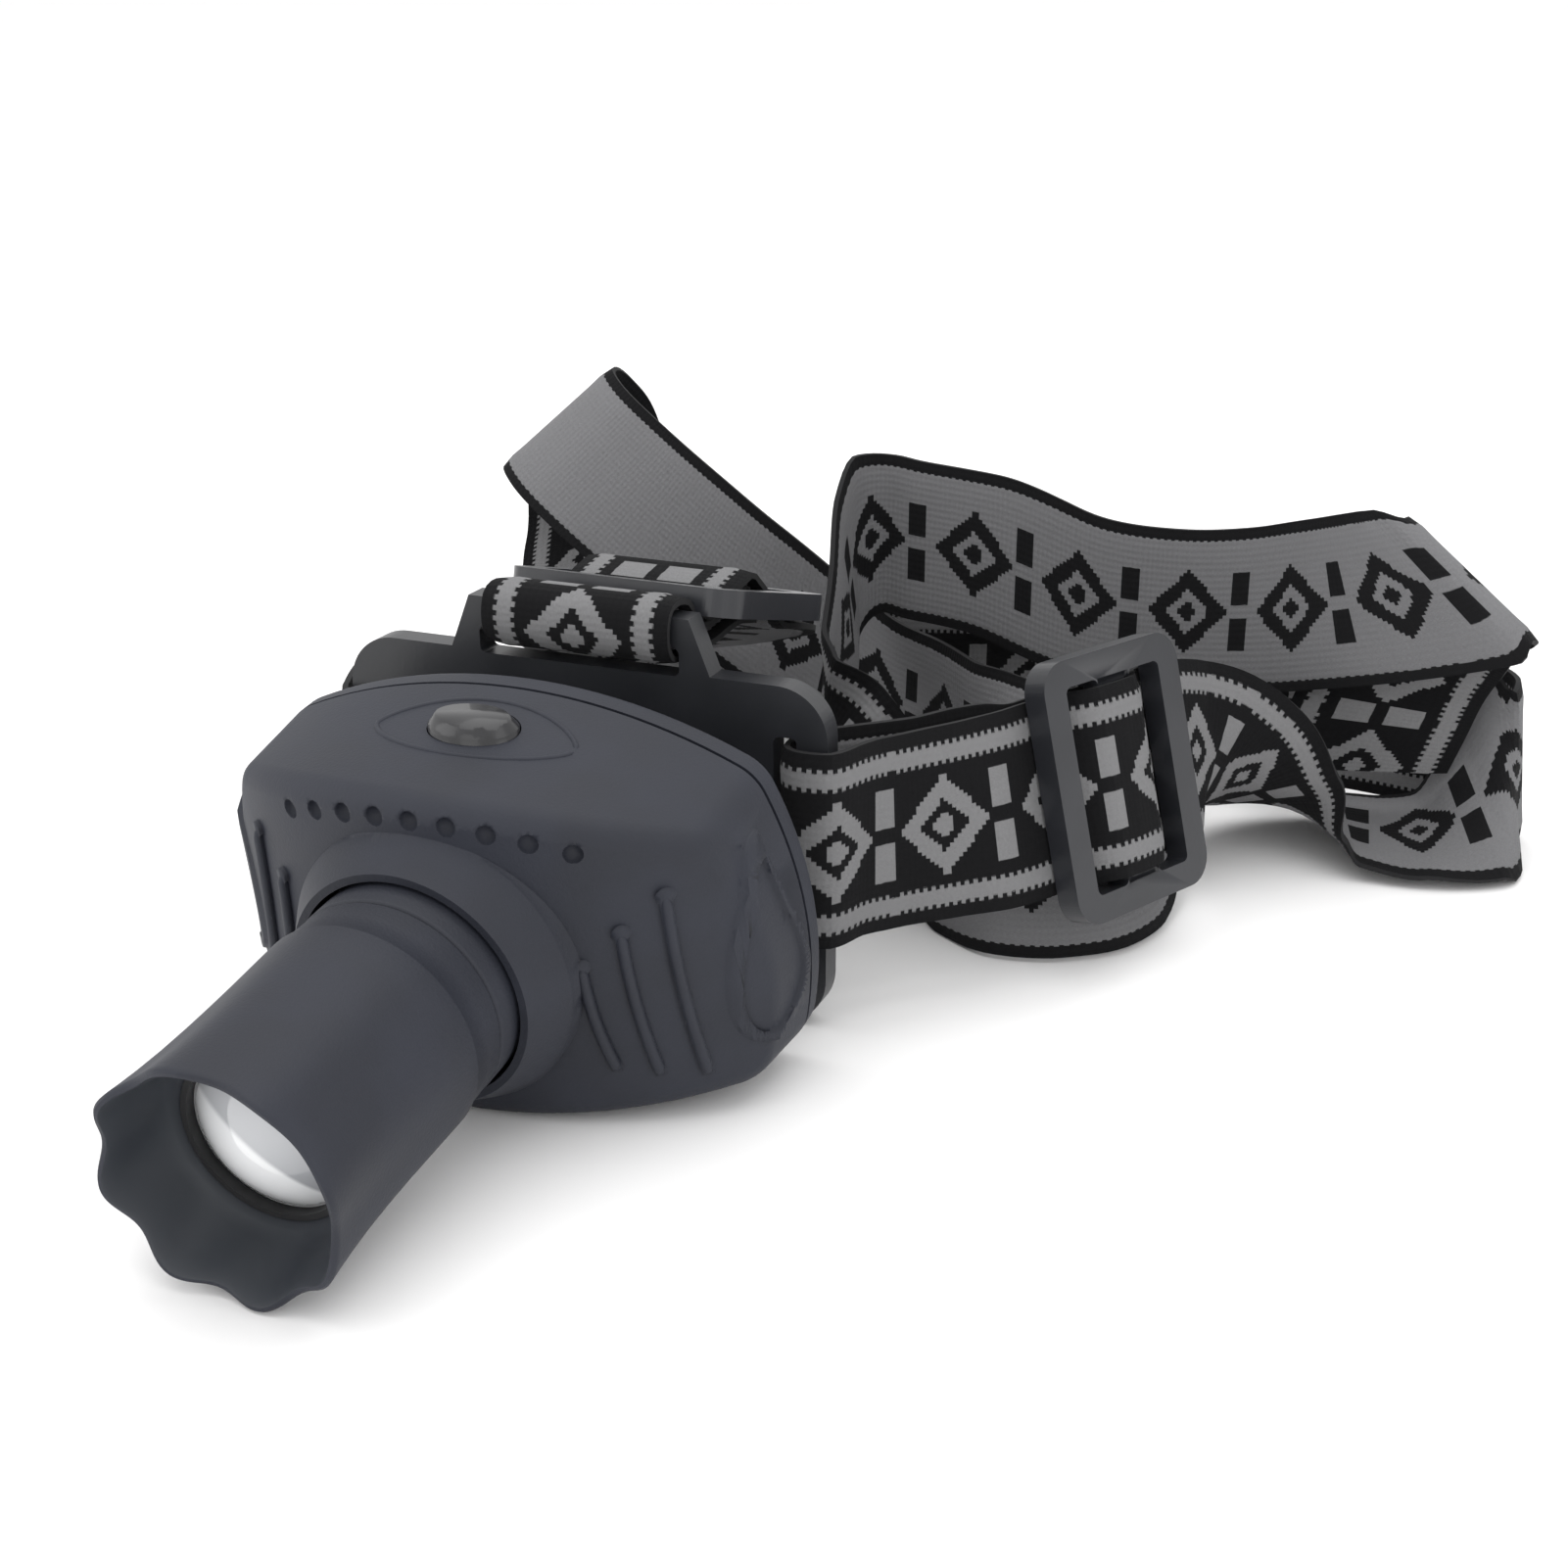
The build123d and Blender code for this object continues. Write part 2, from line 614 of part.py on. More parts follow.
main_stations = (
    sewn_end(slider_a_plane)
    + [
        (43.4, 20.6, 23.8, 0.1, 0, -1),
        (37.4, 14.6, 23.6, 0, 0, -1),
        (32.2, 9.0, 23.8, 0, 0, -1),
        (29.0, 5.2, 24.0, 0, 0, -1),
        (27.1, 2.4, 24.0, 0, 0, -1),
        (27.1, 0.0, 24.0, 0, 0, -1),
        (27.2, -1.5, 24.0, 0, 0, -1),
        (28.6, -2.8, 24.0, 0, 0, -1),
        (31.0, -3.0, 24.0, 0, 0, -1),
        (33.2, -2.4, 24.0, 0, 0, -1),
        (34.3, -0.6, 24.0, 0, 0, -1),
        (35.4, 2.6, 24.0, 0, 0, -1),
        (38.0, 7.5, 23.6, 0.05, 0, -1),
        (43.6, 13.2, 23.8, 0.1, -0.05, -1),
        (48.6, 18.0, 24.1, 0.2, -0.1, -0.97),
    ]
    + through_slider(slider_a_plane, 0)
    + [
        (66.0, 56.0, 21.5, 0.1, -0.33, -0.93),
        (69.0, 66.0, 16.0, -0.67, -0.18, -0.72),
        (72.5, 74.0, 10.0, -0.88, 0.3, -0.37),
        (78.5, 79.5, 5.6, -0.5, 0.86, -0.08),
        (86.0, 81.2, 3.4, -0.13, 0.99, 0.05),
        (94.5, 81.8, 3.8, -0.2, 0.96, 0.14),
        (101.5, 84.6, 8.6, -0.42, 0.7, 0.5),
        (105.8, 90.0, 12.9, -0.1, -0.2, 0.97),
        (105.4, 95.8, 13.0, -0.1, -0.05, 1),
        (99.0, 101.2, 13.0, 0, 0, 1),
        (88.0, 103.5, 13.4, 0, 0, 1),
        (75.0, 104.0, 14.0, 0, 0, 1),
        (55.0, 101.0, 15.5, 0, 0, 1),
        (38.0, 96.5, 16.5, 0, 0, 1),
        (20.0, 92.5, 15.5, 0, 0, 1),
        (4.0, 96.0, 13.2, 0, 0, 1),
        (-11.0, 98.0, 12.8, 0, 0, 1),
        (-25.0, 95.0, 12.4, -0.15, 0.3, 0.94),
        (-36.5, 86.5, 7.9, -0.55, 0.6, 0.55),
        (-44.0, 74.0, 7.9, -0.8, 0.2, 0.55),
        (-48.0, 59.0, 9.7, -0.72, 0, 0.7),
        (-48.5, 43.0, 12.9, -0.2, 0, 0.98),
        (-46.0, 28.0, 17.0, 0, 0, 1),
        (-41.5, 15.0, 21.0, 0, 0, 1),
        (-37.0, 5.4, 23.6, 0, 0, 1),
        (-34.6, 0.2, 24.0, 0, 0, 1),
        (-33.2, -2.4, 24.0, 0, 0, 1),
        (-31.0, -3.0, 24.0, 0, 0, 1),
        (-28.6, -2.8, 24.0, 0, 0, 1),
        (-27.2, -1.5, 24.0, 0, 0, 1),
        (-27.1, 0.0, 24.0, 0, 0, 1),
        (-27.1, 2.4, 24.0, 0, 0, 1),
        (-29.2, 5.4, 24.0, 0, 0, 1),
        (-32.0, 9.8, 23.2, 0, 0, 1),
    ]
)
main_strap = ribbon(main_stations)

top_stations = (
    sewn_end(slider_b_plane)
    + [
        (0.6, 2.0, 45.15, 1, 0, 0),
        (0.4, 0.0, 45.15, 1, 0, 0),
        (0.4, -1.9, 45.6, 1, 0, 0),
        (0.3, -2.85, 47.2, 1, 0, 0),
        (0.3, -2.95, 49.5, 1, 0, 0),
        (0.3, -2.1, 51.4, 1, 0, 0),
        (0.3, 0.2, 52.0, 1, 0, 0),
        (0.5, 2.9, 51.2, 1, 0, 0),
        (0.8, 3.7, 49.3, 1, 0, 0),
    ]
    + through_slider(slider_b_plane, 1.6)
    + [
        (1.5, 38.0, 38.0, 1, 0.1, 0),
        (-7.0, 48.0, 32.5, 0.95, 0.3, 0),
        (-18.0, 58.0, 27.0, 0.9, 0.42, 0),
        (-30.0, 68.0, 22.5, 0.87, 0.5, 0),
        (-40.0, 79.0, 20.6, 0.88, 0.45, 0),
        (-46.0, 90.0, 23.0, 0.93, 0.3, 0.1),
        (-48.0, 97.5, 30.0, 0.87, 0.35, 0.35),
        (-48.5, 99.5, 40.0, 0.78, 0.3, 0.55),
        (-49.0, 97.0, 48.0, 0.72, 0.25, 0.64),
        (-50.0, 93.0, 52.4, 0.71, 0.24, 0.66),
        (-49.6, 89.0, 53.0, 0.71, 0.24, 0.66),
        (-46.0, 86.0, 50.6, 0.71, 0.24, 0.66),
        (-38.0, 84.5, 44.8, 0.66, 0.24, 0.7),
        (-28.0, 84.5, 37.5, 0.55, 0.2, 0.8),
        (-16.0, 86.0, 28.5, 0.38, 0.12, 0.92),
        (-3.0, 88.0, 19.4, 0.2, 0.05, 0.98),
        (9.0, 86.5, 13.8, 0.05, 0, 1),
        (20.0, 80.5, 12.8, 0, 0, 1),
        (28.5, 72.0, 12.8, 0, 0, 1),
        (35.5, 65.5, 12.7, 0, 0.3, 0.95),
        (42.0, 61.0, 12.0, 0.15, 0.6, 0.78),
        (47.6, 57.0, 10.8, 0.5, 0.85, 0.1),
        (53.0, 51.0, 11.0, 0.75, 0.5, -0.45),
        (58.4, 44.5, 11.5, 0.5, 0.05, -0.86),
        (56.4, 37.0, 11.5, 0.4, -0.25, -0.88),
        (51.0, 32.0, 11.8, 0.2, -0.35, -0.91),
        (44.0, 29.6, 12.4, 0.08, -0.3, -0.95),
        (37.0, 31.4, 12.6, 0, -0.1, -1),
        (31.0, 35.5, 13.0, 0, 0.15, -1),
        (25.0, 40.0, 13.5, 0.35, 0.5, -0.8),
        (19.0, 44.5, 14.5, 0.6, 0.78, -0.1),
        (13.6, 49.5, 15.6, 0.55, 0.4, 0.7),
        (10.0, 56.0, 18.0, 0.25, -0.25, 0.92),
        (8.6, 63.5, 23.0, 0.1, -0.55, 0.82),
        (8.0, 70.0, 29.0, 0.05, -0.6, 0.78),
        (6.2, 76.0, 35.5, 0, -0.35, 0.93),
        (6.4, 80.0, 39.2, 0, -0.1, 0.99),
        (9.4, 82.4, 40.8, 0, 0, 1),
        (15.0, 82.6, 40.2, 0, 0, 1),
        (26.0, 83.6, 38.6, 0, 0, 1),
        (42.0, 88.0, 32.6, 0, 0, 1),
        (55.0, 89.6, 31.6, 0, 0, 1),
        (66.0, 88.4, 33.0, 0, 0, 1),
        (76.0, 84.6, 36.0, -0.15, 0.05, 0.98),
        (86.0, 80.0, 39.6, -0.5, 0.25, 0.8),
        (93.0, 77.0, 42.4, -0.72, 0.38, 0.55),
        (96.2, 76.4, 43.6, -0.76, 0.38, 0.52),
        (97.2, 79.6, 43.2, -0.76, 0.38, 0.52),
        (95.2, 83.2, 40.6, -0.76, 0.38, 0.5),
        (92.6, 85.6, 35.4, -0.88, 0.25, 0.38),
        (89.0, 86.8, 28.0, -0.97, 0.08, 0.2),
        (86.0, 87.6, 19.0, -1, 0.05, 0),
        (83.0, 88.0, 10.2, -1, 0, -0.1),
    ]
)
top_strap = ribbon(top_stations)

nodes = (
    ("front_shell", front_shell, lamp_place),
    ("rear_cover", rear_cover, lamp_place),
    ("door_pin", door_pin, lamp_place),
    ("tilt_pin", tilt_pin, lamp_place),
    ("zoom_head", zoom_head, lamp_place),
    ("lens", lens, lamp_place),
    ("lens_ring", lens_ring, lamp_place),
    ("led_post", led_post, lamp_place),
    ("o_ring", o_ring, lamp_place),
    ("stop_ring", stop_ring, lamp_place),
    ("led_board", led_board, lamp_place),
    ("led_emitter", led_emitter, lamp_place),
    ("tray_screws", tray_screws, lamp_place),
    ("battery_tray", battery_tray, lamp_place),
    ("cell_1", cells[0], lamp_place),
    ("cell_2", cells[1], lamp_place),
    ("cell_3", cells[2], lamp_place),
    ("contact_plates", contact_plates, lamp_place),
    ("contact_springs", contact_springs, lamp_place),
    ("switch_board", switch_board, lamp_place),
    ("tactile_switch", tactile_switch, lamp_place),
    ("button_cap", button_cap, lamp_place),
    ("red_wire", wires[0], lamp_place),
    ("black_wire", wires[1], lamp_place),
    ("bracket", bracket, Location()),
    ("slider_a", slider_a, Location()),
    ("slider_b", slider_b, Location()),
    ("main_strap", main_strap, Location()),
    ("top_strap", top_strap, Location()),
)
for label, piece, place in nodes:
    placed = save(piece, label, place)
    box = placed.bounding_box()
    print(label, placed.is_valid, len(placed.solids()), round(placed.volume), box.min, box.max)
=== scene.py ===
import json
import math
import bmesh
import bpy
from mathutils import Matrix, Vector
from mathutils.bvhtree import BVHTree


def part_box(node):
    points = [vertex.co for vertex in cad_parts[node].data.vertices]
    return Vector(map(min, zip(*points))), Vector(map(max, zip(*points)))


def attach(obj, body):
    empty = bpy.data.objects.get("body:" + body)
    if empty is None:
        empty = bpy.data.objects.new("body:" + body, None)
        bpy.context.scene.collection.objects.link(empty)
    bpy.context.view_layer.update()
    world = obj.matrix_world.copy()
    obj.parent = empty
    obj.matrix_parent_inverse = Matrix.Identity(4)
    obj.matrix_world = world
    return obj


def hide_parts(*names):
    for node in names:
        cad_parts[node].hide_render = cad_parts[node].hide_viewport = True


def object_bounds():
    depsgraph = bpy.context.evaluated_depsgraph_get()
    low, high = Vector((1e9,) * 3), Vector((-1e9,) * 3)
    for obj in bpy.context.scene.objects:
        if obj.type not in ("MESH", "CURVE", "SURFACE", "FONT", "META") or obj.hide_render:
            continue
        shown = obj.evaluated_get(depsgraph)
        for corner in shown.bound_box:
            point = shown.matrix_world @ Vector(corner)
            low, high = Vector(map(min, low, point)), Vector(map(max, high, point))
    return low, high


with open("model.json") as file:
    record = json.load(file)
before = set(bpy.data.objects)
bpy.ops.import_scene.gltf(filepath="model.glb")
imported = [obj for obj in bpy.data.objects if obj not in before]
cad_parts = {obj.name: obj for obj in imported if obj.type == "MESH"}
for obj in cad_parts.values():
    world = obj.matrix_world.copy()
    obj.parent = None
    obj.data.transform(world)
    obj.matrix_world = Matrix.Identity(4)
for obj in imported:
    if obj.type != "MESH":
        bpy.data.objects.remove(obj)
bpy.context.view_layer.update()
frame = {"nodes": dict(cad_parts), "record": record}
nodes = frame["nodes"]
print("frame loaded:", len(nodes), "nodes")


# ---- shader maths: a wire is one output socket, and arithmetic on wires adds Math nodes
class Wire:
    def __init__(self, tree, socket):
        self.tree, self.socket = tree, socket

    def node(self, kind, settings=None, values=None, out=0):
        made = self.tree.nodes.new(kind)
        for name, value in (settings or {}).items():
            if name == "stops":
                ramp = made.color_ramp
                while len(ramp.elements) < len(value):
                    ramp.elements.new(0.5)
                for element, (place, colour) in zip(ramp.elements, value):
                    element.position = place
                    element.color = (*colour, 1)
            else:
                setattr(made, name, value)
        for name, value in (values or {}).items():
            if isinstance(value, Wire):
                self.tree.links.new(value.socket, made.inputs[name])
            else:
                made.inputs[name].default_value = value
        return Wire(self.tree, made.outputs[out])

    def maths(self, operation, *others, first=None):
        values = {0: self if first is None else first}
        for index, other in enumerate(others):
            values[index + 1] = other
        return self.node("ShaderNodeMath", {"operation": operation}, values)

    def __add__(self, other): return self.maths("ADD", other)
    def __radd__(self, other): return self.maths("ADD", self, first=other)
    def __sub__(self, other): return self.maths("SUBTRACT", other)
    def __rsub__(self, other): return self.maths("SUBTRACT", self, first=other)
    def __mul__(self, other): return self.maths("MULTIPLY", other)
    def __rmul__(self, other): return self.maths("MULTIPLY", self, first=other)
    def __truediv__(self, other): return self.maths("DIVIDE", other)
    def __rtruediv__(self, other): return self.maths("DIVIDE", self, first=other)
    def __lt__(self, other): return self.maths("LESS_THAN", other)
    def __gt__(self, other): return self.maths("GREATER_THAN", other)
    def __mod__(self, other): return self.maths("FLOORED_MODULO", other)
    def __abs__(self): return self.maths("ABSOLUTE")
    def sine(self): return self.maths("SINE")
    def stepped(self, size): return self.maths("SNAP", size)
    def most(self, other): return self.maths("MAXIMUM", other)
    def least(self, other): return self.maths("MINIMUM", other)
    def soft(self, low, high):
        return self.node(
            "ShaderNodeMapRange", {"interpolation_type": "SMOOTHSTEP"}, {0: self, 1: low, 2: high},
        )

    def mixed(self, one, other):
        values = {0: self}
        values[6] = one if isinstance(one, Wire) else (*one, 1)
        values[7] = other if isinstance(other, Wire) else (*other, 1)
        return self.node("ShaderNodeMix", {"data_type": "RGBA"}, values, out=2)


def newMaterial(name, colour, roughness, **fixed):
    # a plain finish; what varies is linked afterwards
    material = bpy.data.materials.new(name)
    material.use_nodes = True
    tree = material.node_tree
    shader = tree.nodes["Principled BSDF"]
    shader.inputs["Base Color"].default_value = (*colour, 1)
    shader.inputs["Roughness"].default_value = roughness
    for label, value in fixed.items():
        shader.inputs[label.replace("_", " ")].default_value = value
    return material, tree, shader


def objectWire(tree):
    place = tree.nodes.new("ShaderNodeTexCoord")
    return Wire(tree, place.outputs["Object"])


def bumped(tree, shader, height, strength, distance):
    bump = height.node(
        "ShaderNodeBump", None, {"Strength": strength, "Distance": distance, "Height": height},
    )
    tree.links.new(bump.socket, shader.inputs["Normal"])


def grainFinish(name, colour, roughness, grain, depth, cloud=0.0, **fixed):
    # moulded finish: fine grain in the surface, soft clouds in its colour and gloss
    material, tree, shader = newMaterial(name, colour, roughness, **fixed)
    place = objectWire(tree)
    fine = place.node("ShaderNodeTexNoise", None, {"Vector": place, "Scale": grain, "Detail": 3.0})
    wide = place.node("ShaderNodeTexNoise", None, {"Vector": place, "Scale": 90.0, "Detail": 2.0})
    worn = (wide - 0.5) * cloud
    tree.links.new((worn + roughness).socket, shader.inputs["Roughness"])
    darker = tuple(0.88 * c for c in colour)
    lighter = tuple(1.14 * c for c in colour)
    tree.links.new(wide.soft(0.3, 0.7).mixed(darker, lighter).socket, shader.inputs["Base Color"])
    bumped(tree, shader, fine, depth, 0.0002)
    return material


def webbingFinish(name, ground, figure, border, pattern):
    # knitted elastic: u runs along in metres, v across from 0 to 1
    material, tree, shader = newMaterial(name, ground, 0.9, Specular_IOR_Level=0.2)
    uvNode = tree.nodes.new("ShaderNodeUVMap")
    uvNode.uv_map = "weave"
    uv = Wire(tree, uvNode.outputs["UV"])
    split = uv.node("ShaderNodeSeparateXYZ", None, {0: uv})
    along = Wire(tree, split.socket) * 1000
    across = Wire(tree, split.socket.node.outputs[1]) * 25
    ragged = uv.node("ShaderNodeTexNoise", None, {"Vector": uv, "Scale": 900.0, "Detail": 2.0})
    stepAlong = along.stepped(0.55)
    tooth = ((stepAlong % 1.1) > 0.5) * 0.5 + (ragged - 0.5) * 0.9
    fromEdge = 12.5 - abs(across - 12.5)
    # a chain of stepped lozenges with a bar between them
    cell = (stepAlong % 17.0) - 8.5
    high = abs((across - 12.5 + (ragged - 0.5) * 0.5).stepped(0.5) + 0.25)
    lozenge = abs(cell + 2.0) / 6.2 + high / 6.6
    ring = (lozenge > 0.54) * (lozenge < 1.0)
    heart = lozenge < 0.26
    bar = (abs(cell - 6.1) < 1.5) * (high < 6.2) * (high > 1.2)
    figureMask = (ring.most(heart)).most(bar)
    if pattern == "striped":
        stripe = (fromEdge + tooth > 2.3) * (fromEdge + tooth < 4.7)
        figureMask = figureMask.most(stripe)
        colour = figureMask.mixed(ground, figure)
    else:
        colour = (figureMask * (1.0 if pattern == "bordered" else 0.0)).mixed(ground, figure)
        colour = (fromEdge + tooth * 0.3 < 1.7).mixed(colour, border)
    speck = uv.node("ShaderNodeTexNoise", None, {"Vector": uv, "Scale": 2600.0, "Detail": 2.0})
    shade = speck.soft(0.3, 0.75).mixed((0.62, 0.62, 0.62), (1.22, 1.22, 1.22))
    colour = colour.node(
        "ShaderNodeMix", {"data_type": "RGBA", "blend_type": "MULTIPLY"}, {0: 1.0, 6: colour, 7: shade},
        out=2,
    )
    tree.links.new(colour.socket, shader.inputs["Base Color"])
    ribs = (across * (2 * math.pi / 0.95)).sine() * 0.5 + (along * (2 * math.pi / 0.75)).sine() * 0.35
    bumped(tree, shader, ribs + speck * 1.4, 0.55, 0.00018)
    return material


finishes = {
    "skin": grainFinish(
        "softTouchSkin", (0.019, 0.021, 0.030), 0.6, 2600.0, 0.22, 0.16, Specular_IOR_Level=0.35,
    ),
    "bracket": grainFinish("bracketPlastic", (0.017, 0.018, 0.021), 0.36, 1500.0, 0.08, 0.1),
    "slider": grainFinish("sliderPlastic", (0.021, 0.022, 0.026), 0.3, 1500.0, 0.06, 0.08),
    "button": newMaterial("buttonGloss", (0.012, 0.012, 0.014), 0.3, Coat_Weight=0.25)[0],
    "bore": newMaterial("boreDark", (0.03, 0.034, 0.042), 0.5)[0],
    "ring": newMaterial("ringBlack", (0.015, 0.015, 0.016), 0.45)[0],
    "alloy": newMaterial("postAlloy", (0.72, 0.72, 0.74), 0.3, Metallic=1.0)[0],
    "steel": newMaterial("pinSteel", (0.05, 0.05, 0.055), 0.4, Metallic=1.0)[0],
    "contact": newMaterial("contactNickel", (0.76, 0.74, 0.68), 0.22, Metallic=1.0)[0],
    "seal": newMaterial("sealRubber", (0.018, 0.018, 0.018), 0.6)[0],
    "board": newMaterial("boardGreen", (0.03, 0.17, 0.07), 0.35)[0],
    "led": newMaterial("ledDome", (0.85, 0.72, 0.22), 0.25)[0],
    "tray": newMaterial("trayPlastic", (0.03, 0.03, 0.034), 0.5)[0],
    "cell": newMaterial("cellJacket", (0.1, 0.11, 0.13), 0.35, Metallic=0.3)[0],
    "redWire": newMaterial("redInsulation", (0.5, 0.02, 0.02), 0.45)[0],
    "blackWire": newMaterial("blackInsulation", (0.015, 0.015, 0.015), 0.45)[0],
    "webDark": webbingFinish(
        "webbingDarkFace", (0.0055, 0.0055, 0.0065), (0.25, 0.25, 0.255), None, "striped",
    ),
    "webPale": webbingFinish(
        "webbingPaleFace", (0.215, 0.215, 0.222), (0.007, 0.007, 0.008), (0.007, 0.007, 0.008),
        "bordered",
    ),
    "webPlain": webbingFinish(
        "webbingPlainFace", (0.215, 0.215, 0.222), (0.007, 0.007, 0.008), (0.007, 0.007, 0.008),
        "plain",
    ),
    "webEdge": newMaterial("webbingEdge", (0.007, 0.007, 0.008), 0.9)[0],
}


def lensFinish():
    # clear dome over a white bowl, with a painted reflection: a straight-edged pale field of painted
    # highlight and a greyer side of painted shade, darker towards the bottom
    material, tree, shader = newMaterial(
        "lensPaintedReflection", (0.75, 0.76, 0.78), 0.06, Coat_Weight=1.0, Coat_Roughness=0.03,
    )
    place = objectWire(tree)
    low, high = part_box("lens")
    middle = (low + high) / 2
    split = place.node("ShaderNodeSeparateXYZ", None, {0: place})
    x = Wire(tree, split.socket) - middle.x
    z = Wire(tree, split.socket.node.outputs[2]) - middle.z
    side = x * 0.62 + z * 0.78 + x * x * 26.0
    # painted highlight: the pale straight-edged field stands in for studio light reflected in the dome
    paintedHighlight = side.soft(0.0002, -0.0006)
    # painted shade: the greyer side of the dome, darker towards the bottom
    paintedShadeFade = (z * 60.0 + 0.5).soft(0.0, 1.0)
    paintedShade = paintedShadeFade.mixed((0.36, 0.37, 0.39), (0.55, 0.56, 0.58))
    tree.links.new(paintedHighlight.mixed(paintedShade, (0.86, 0.87, 0.88)).socket, shader.inputs["Base Color"])
    return material


finishes["lens"] = lensFinish()
print("finishes made")

slotFinish = {
    "case_rubber": "skin",
    "bracket_plastic": "bracket",
    "slider_plastic": "slider",
    "button_plastic": "button",
    "lens_clear": "lens",
    "ring_black": "ring",
    "post_alloy": "alloy",
    "pin_steel": "steel",
    "contact_steel": "contact",
    "seal_rubber": "seal",
    "board_green": "board",
    "led_yellow": "led",
    "switch_metal": "contact",
    "tray_plastic": "tray",
    "cell_jacket": "cell",
    "wire_red": "redWire",
    "wire_black": "blackWire",
    "webbing": "webDark",
}
slotOf = {row["node"]: row["material_slot"] for row in frame["record"]["subparts"]}
bodyOf = {
    node: body for body, members in frame["record"]["behaviour"]["bodies"].items() for node in members
}
for name, piece in nodes.items():
    piece.data.materials.clear()
    piece.data.materials.append(finishes[slotFinish[slotOf[name]]])


def newPiece(name, vertices, faces, body, materials, faceMaterials=None, sharp=40.0):
    mesh = bpy.data.meshes.new(name)
    mesh.from_pydata([tuple(v) for v in vertices], [], faces)
    for material in materials:
        mesh.materials.append(material)
    if faceMaterials:
        mesh.polygons.foreach_set("material_index", faceMaterials)
    mesh.shade_smooth()
    mesh.set_sharp_from_angle(angle=math.radians(sharp))
    mesh.update()
    piece = bpy.data.objects.new(name, mesh)
    bpy.context.scene.collection.objects.link(piece)
    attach(piece, body)
    return piece


def smoothCopy(node, name, finish, angle=32.0):
    # the CAD mesh with its corners merged, so that its rounds shade smoothly
    work = bmesh.new()
    work.from_mesh(nodes[node].data)
    bmesh.ops.remove_doubles(work, verts=work.verts, dist=0.000004)
    mesh = bpy.data.meshes.new(name)
    work.to_mesh(mesh)
    work.free()
    mesh.materials.clear()
    mesh.materials.append(finish)
    mesh.shade_smooth()
    mesh.set_sharp_from_angle(angle=math.radians(angle))
    piece = bpy.data.objects.new(name, mesh)
    bpy.context.scene.collection.objects.link(piece)
    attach(piece, bodyOf[node])
    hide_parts(node)
    return piece


for node in ("front_shell", "rear_cover", "bracket", "slider_a", "slider_b", "button_cap", "lens"):
    smoothCopy(node, node + "Skin", finishes[slotFinish[slotOf[node]]])
print("smooth copies made")

# ---- casing front: true normals on its bowed face, then rounded ribs and outlines swept over it
casing = {"origin": (0.0, -22.0, 21.5), "tilt": 7.5, "front": 17.5, "bow": 46.0}
ridges = {"ribRadius": 0.7, "almondRadius": 0.34, "lift": 0.3}


def casingPoint(x, y, z):
    turn = Matrix.Rotation(math.radians(casing["tilt"]), 3, "X")
    return (turn @ Vector((x, y, z)) + Vector(casing["origin"])) / 1000


def steadyFront(piece):
    turn = Matrix.Rotation(math.radians(casing["tilt"]), 3, "X")
    mesh = piece.data
    hub = casing["bow"] - casing["front"]
    radial = {}
    for vertex in mesh.vertices:
        place = turn.transposed() @ (vertex.co * 1000 - Vector(casing["origin"]))
        reach = math.hypot(place.x, place.y - hub)
        if place.y < 0 and abs(reach - casing["bow"]) < 0.03:
            radial[vertex.index] = turn @ Vector((place.x / reach, (place.y - hub) / reach, 0))
    normals = [Vector(normal.vector) for normal in mesh.corner_normals]
    for face in mesh.polygons:
        isFront = all(index in radial and radial[index].dot(face.normal) > 0.85 for index in face.vertices)
        for corner in face.loop_indices:
            smooth = radial.get(mesh.loops[corner].vertex_index)
            if smooth is not None and (isFront or smooth.dot(normals[corner]) > 0.97):
                normals[corner] = smooth
    mesh.normals_split_custom_set(normals)


def ridgeTree():
    # sweeps a round section along a chain of edges and rounds off its two ends
    tree = bpy.data.node_groups.new("sweptRidge", "GeometryNodeTree")
    face = tree.interface
    face.new_socket("Geometry", in_out="INPUT", socket_type="NodeSocketGeometry")
    sockets = {}
    for label, kind, value in (
        ("Radius", "NodeSocketFloat", 0.0005), ("End Rounding", "NodeSocketFloat", 12.0),
        ("Finish", "NodeSocketMaterial", None),
    ):
        socket = face.new_socket(label, in_out="INPUT", socket_type=kind)
        if value is not None:
            socket.default_value = value
        sockets[label] = socket.identifier
    face.new_socket("Geometry", in_out="OUTPUT", socket_type="NodeSocketGeometry")
    way = Wire(tree, tree.nodes.new("NodeGroupInput").outputs["Geometry"])
    given = {label: Wire(tree, way.socket.node.outputs[label]) for label in sockets}
    path = way.node("GeometryNodeMeshToCurve", None, {0: way})
    path = way.node("GeometryNodeResampleCurve", None, {"Curve": path, "Count": 72})
    share = way.node("GeometryNodeSplineParameter")
    near = share.least(1 - share) * given["End Rounding"]
    near = near.least(1.0)
    rounding = (near * (2 - near)).maths("SQRT")
    section = way.node(
        "GeometryNodeCurvePrimitiveCircle", None, {"Resolution": 20, "Radius": given["Radius"]},
    )
    values = {"Curve": path, "Profile Curve": section, "Scale": rounding.most(0.02), "Fill Caps": True}
    swept = way.node("GeometryNodeCurveToMesh", None, values)
    swept = way.node("GeometryNodeSetShadeSmooth", None, {"Geometry": swept})
    swept = way.node("GeometryNodeRealizeInstances", None, {"Geometry": swept})
    swept = way.node("GeometryNodeSetMaterial", None, {"Geometry": swept, "Material": given["Finish"]})
    tree.links.new(swept.socket, tree.nodes.new("NodeGroupOutput").inputs["Geometry"])
    return tree, sockets


ridgeGroup, ridgeSockets = ridgeTree()


